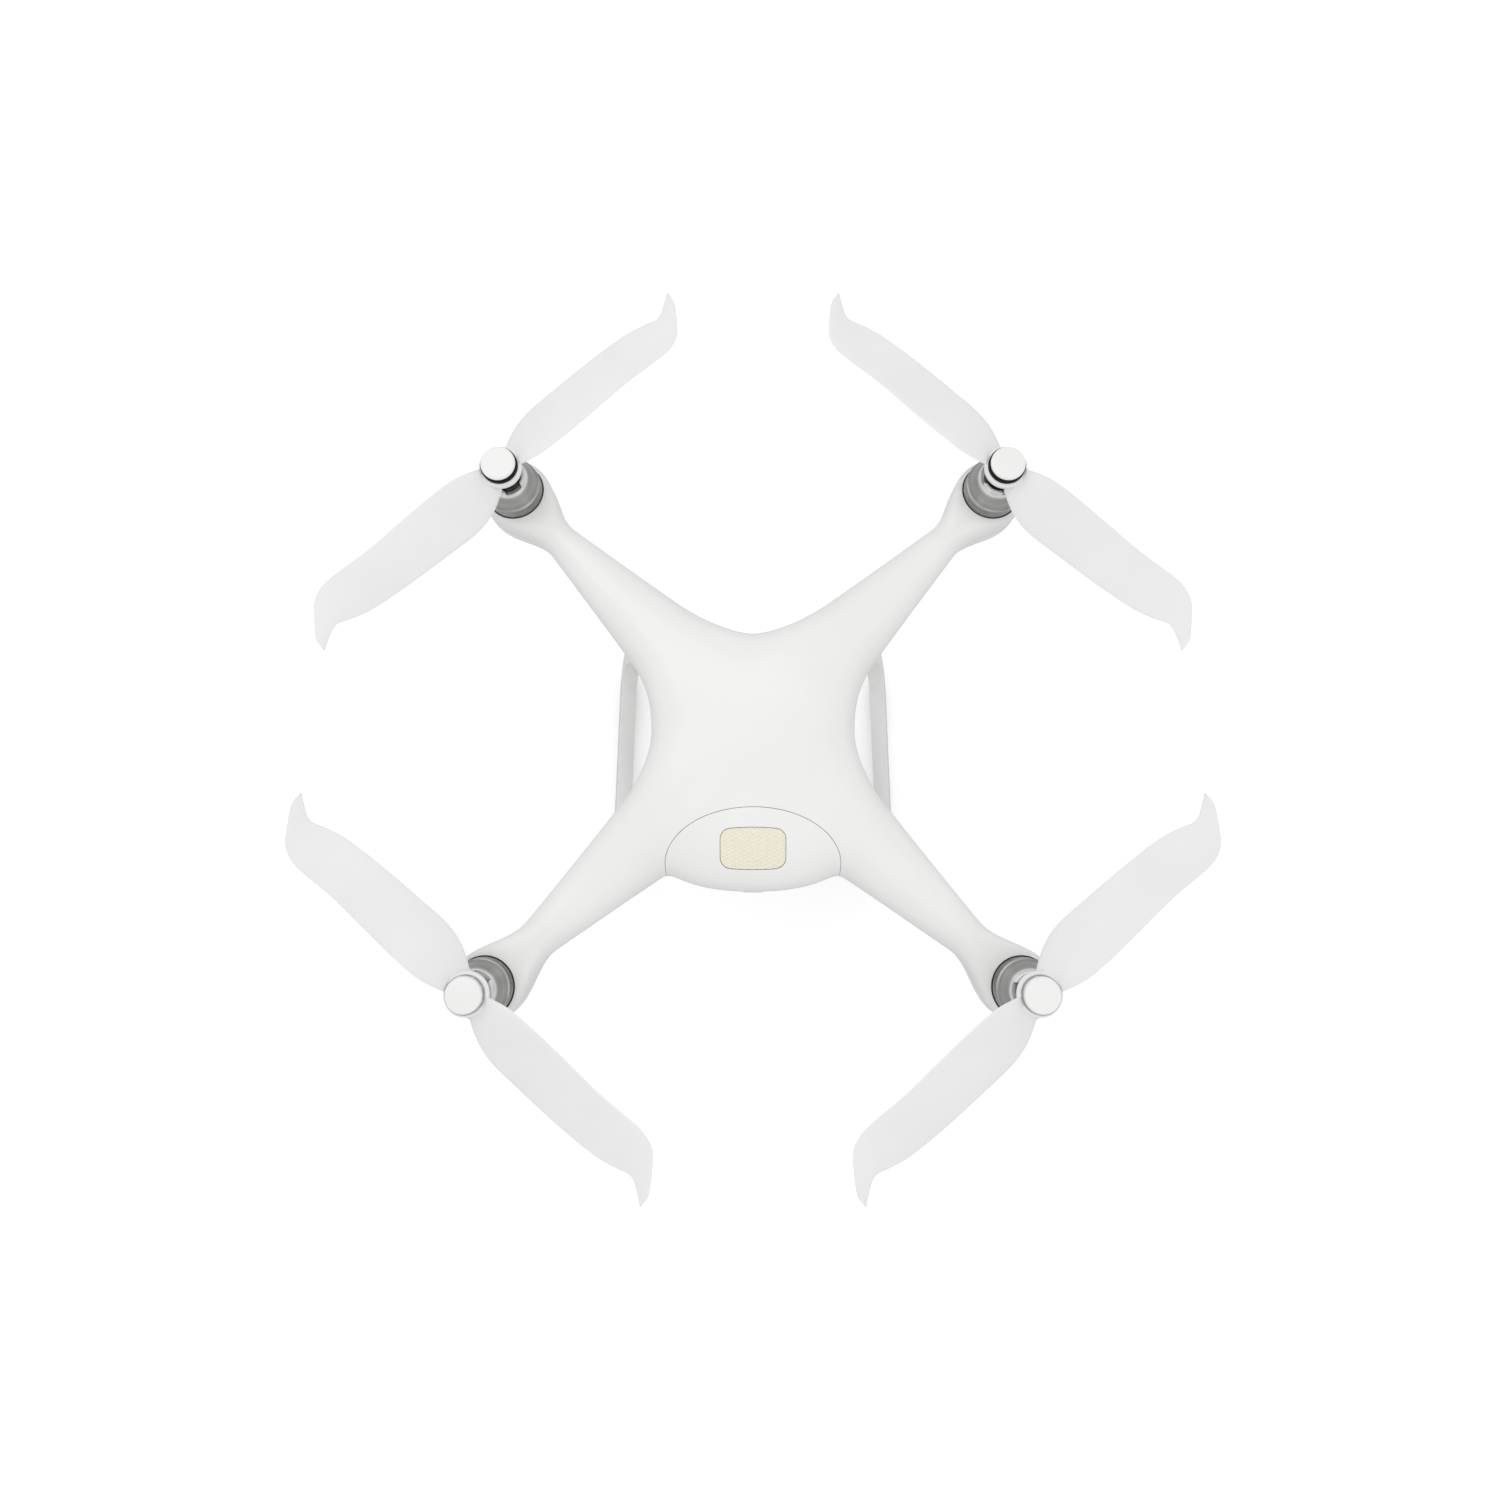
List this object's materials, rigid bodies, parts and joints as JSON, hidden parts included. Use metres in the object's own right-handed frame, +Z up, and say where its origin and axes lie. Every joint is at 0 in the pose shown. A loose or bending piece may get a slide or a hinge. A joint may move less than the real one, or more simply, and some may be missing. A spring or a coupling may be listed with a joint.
{
  "type": "quadcopter camera drone",
  "caption": "Quadcopter camera drone with a moulded cross-shaped body, twist-lock propellers, slide-in battery, fixed skids and a gimbal camera.",
  "frame": {"origin": "on the ground under the middle of the drone, halfway between the propeller tips on each side", "axes": "+Y towards the front of the drone, +X towards its right side, +Z up"},
  "size_m": [0.4238, 0.4258, 0.196],
  "materials": {
    "white_shell": "smooth glossy white moulded plastic with fine grain",
    "prop_white": "satin white glass-filled plastic",
    "ivory_pad": "ivory plastic with fine raised chevron ribs",
    "motor_metal": "turned grey aluminium with fine lathe marks",
    "gimbal_metal": "bead-blasted aluminium",
    "steel": "bright steel",
    "motor_winding": "enamelled copper on a steel core",
    "black_plastic": "black satin plastic",
    "black_ring": "glossy black ring",
    "grey_ring": "silver-grey ring",
    "grey_plastic": "dark grey moulded plastic",
    "circuit_board": "green solder mask",
    "ceramic": "antenna ceramic",
    "wire_jacket": "silicone wire jacket",
    "front_light": "frosted light cover with a red tint",
    "rear_light": "frosted light cover with a green tint",
    "rubber_pad": "soft grey rubber",
    "cell_foil": "wrapped battery cell",
    "button_grey": "light grey button",
    "charge_light": "frosted charge light window",
    "camera_grey": "light grey fine-textured camera housing",
    "lens_glass": "coated lens glass"
  },
  "bodies": {
    "airframe": {"upper_shell": "white_shell", "lower_shell": "white_shell", "battery_tray": "grey_plastic", "main_board": "circuit_board", "power_board": "circuit_board", "gps_module": "ceramic", "motor_wires": "wire_jacket", "shell_screws": "steel", "motor_bearings": "steel", "motor_screws": "steel", "front_light_covers": "front_light", "rear_light_covers": "rear_light", "left_skid": "white_shell", "right_skid": "white_shell", "skid_pads": "rubber_pad", "front_sensors": "black_plastic", "belly_sensors": "black_plastic", "gimbal_mount": "grey_plastic", "gimbal_dampers": "rubber_pad", "damper_plate": "grey_plastic", "stator_fl": "motor_winding", "stator_fr": "motor_winding", "stator_rl": "motor_winding", "stator_rr": "motor_winding"},
    "rotor_fl": {"bell_fl": "motor_metal", "shaft_fl": "steel", "prop_mount_fl": "black_plastic"},
    "rotor_fr": {"bell_fr": "motor_metal", "shaft_fr": "steel", "prop_mount_fr": "black_plastic"},
    "rotor_rl": {"bell_rl": "motor_metal", "shaft_rl": "steel", "prop_mount_rl": "black_plastic"},
    "rotor_rr": {"bell_rr": "motor_metal", "shaft_rr": "steel", "prop_mount_rr": "black_plastic"},
    "prop_fl": {"propeller_fl": "prop_white", "hub_cap_fl": "white_shell", "cap_ring_fl": "black_ring"},
    "prop_fr": {"propeller_fr": "prop_white", "hub_cap_fr": "white_shell", "cap_ring_fr": "black_ring"},
    "prop_rl": {"propeller_rl": "prop_white", "hub_cap_rl": "white_shell", "cap_ring_rl": "grey_ring"},
    "prop_rr": {"propeller_rr": "prop_white", "hub_cap_rr": "white_shell", "cap_ring_rr": "grey_ring"},
    "battery": {"battery_cap": "white_shell", "battery_case": "grey_plastic", "battery_cells": "cell_foil", "charge_lights": "charge_light"},
    "top_release": {"release_pad_top": "ivory_pad"},
    "bottom_release": {"release_pad_bottom": "ivory_pad"},
    "button": {"power_button": "button_grey"},
    "gimbal_yaw": {"yaw_arm": "gimbal_metal"},
    "gimbal_roll": {"roll_arm": "gimbal_metal"},
    "camera": {"camera_body": "camera_grey", "camera_lens": "lens_glass", "lens_ring": "black_plastic"}
  },
  "joints": [
    {"name": "rotor_fl_spin", "type": "hinge", "parent": "airframe", "child": "rotor_fl", "pos_m": [-0.121, 0.123, 0.165], "axis": [0, 0, 1], "continuous": true},
    {"name": "rotor_fr_spin", "type": "hinge", "parent": "airframe", "child": "rotor_fr", "pos_m": [0.121, 0.123, 0.165], "axis": [0, 0, 1], "continuous": true},
    {"name": "rotor_rl_spin", "type": "hinge", "parent": "airframe", "child": "rotor_rl", "pos_m": [-0.1275, -0.123, 0.165], "axis": [0, 0, 1], "continuous": true},
    {"name": "rotor_rr_spin", "type": "hinge", "parent": "airframe", "child": "rotor_rr", "pos_m": [0.1275, -0.123, 0.165], "axis": [0, 0, 1], "continuous": true},
    {"name": "prop_fl_lock", "type": "hinge", "parent": "rotor_fl", "child": "prop_fl", "pos_m": [-0.121, 0.123, 0.188], "axis": [0, 0, 1], "range_deg": [-45, 0]},
    {"name": "prop_fr_lock", "type": "hinge", "parent": "rotor_fr", "child": "prop_fr", "pos_m": [0.121, 0.123, 0.188], "axis": [0, 0, 1], "range_deg": [0, 45]},
    {"name": "prop_rl_lock", "type": "hinge", "parent": "rotor_rl", "child": "prop_rl", "pos_m": [-0.1275, -0.123, 0.188], "axis": [0, 0, 1], "range_deg": [0, 45]},
    {"name": "prop_rr_lock", "type": "hinge", "parent": "rotor_rr", "child": "prop_rr", "pos_m": [0.1275, -0.123, 0.188], "axis": [0, 0, 1], "range_deg": [-45, 0]},
    {"name": "battery_slide", "type": "slide", "parent": "airframe", "child": "battery", "axis": [0, -1, 0], "range_m": [0, 0.125]},
    {"name": "top_release_press", "type": "slide", "parent": "battery", "child": "top_release", "axis": [0, 0, -1], "range_m": [0, 0.002], "stiffness_N_per_m": 1500},
    {"name": "bottom_release_press", "type": "slide", "parent": "battery", "child": "bottom_release", "axis": [0, 0, 1], "range_m": [0, 0.002], "stiffness_N_per_m": 1500},
    {"name": "power_button_press", "type": "slide", "parent": "battery", "child": "button", "axis": [0, 1, 0], "range_m": [0, 0.0008], "stiffness_N_per_m": 1500},
    {"name": "camera_yaw", "type": "hinge", "parent": "airframe", "child": "gimbal_yaw", "pos_m": [0, 0.012, 0.082], "axis": [0, 0, 1], "range_deg": [-30, 30]},
    {"name": "camera_roll", "type": "hinge", "parent": "gimbal_yaw", "child": "gimbal_roll", "pos_m": [0, -0.011, 0.057], "axis": [0, 1, 0], "range_deg": [-30, 30]},
    {"name": "camera_tilt", "type": "hinge", "parent": "gimbal_roll", "child": "camera", "pos_m": [0.018, 0.012, 0.057], "axis": [1, 0, 0], "range_deg": [-90, 30]}
  ]
}
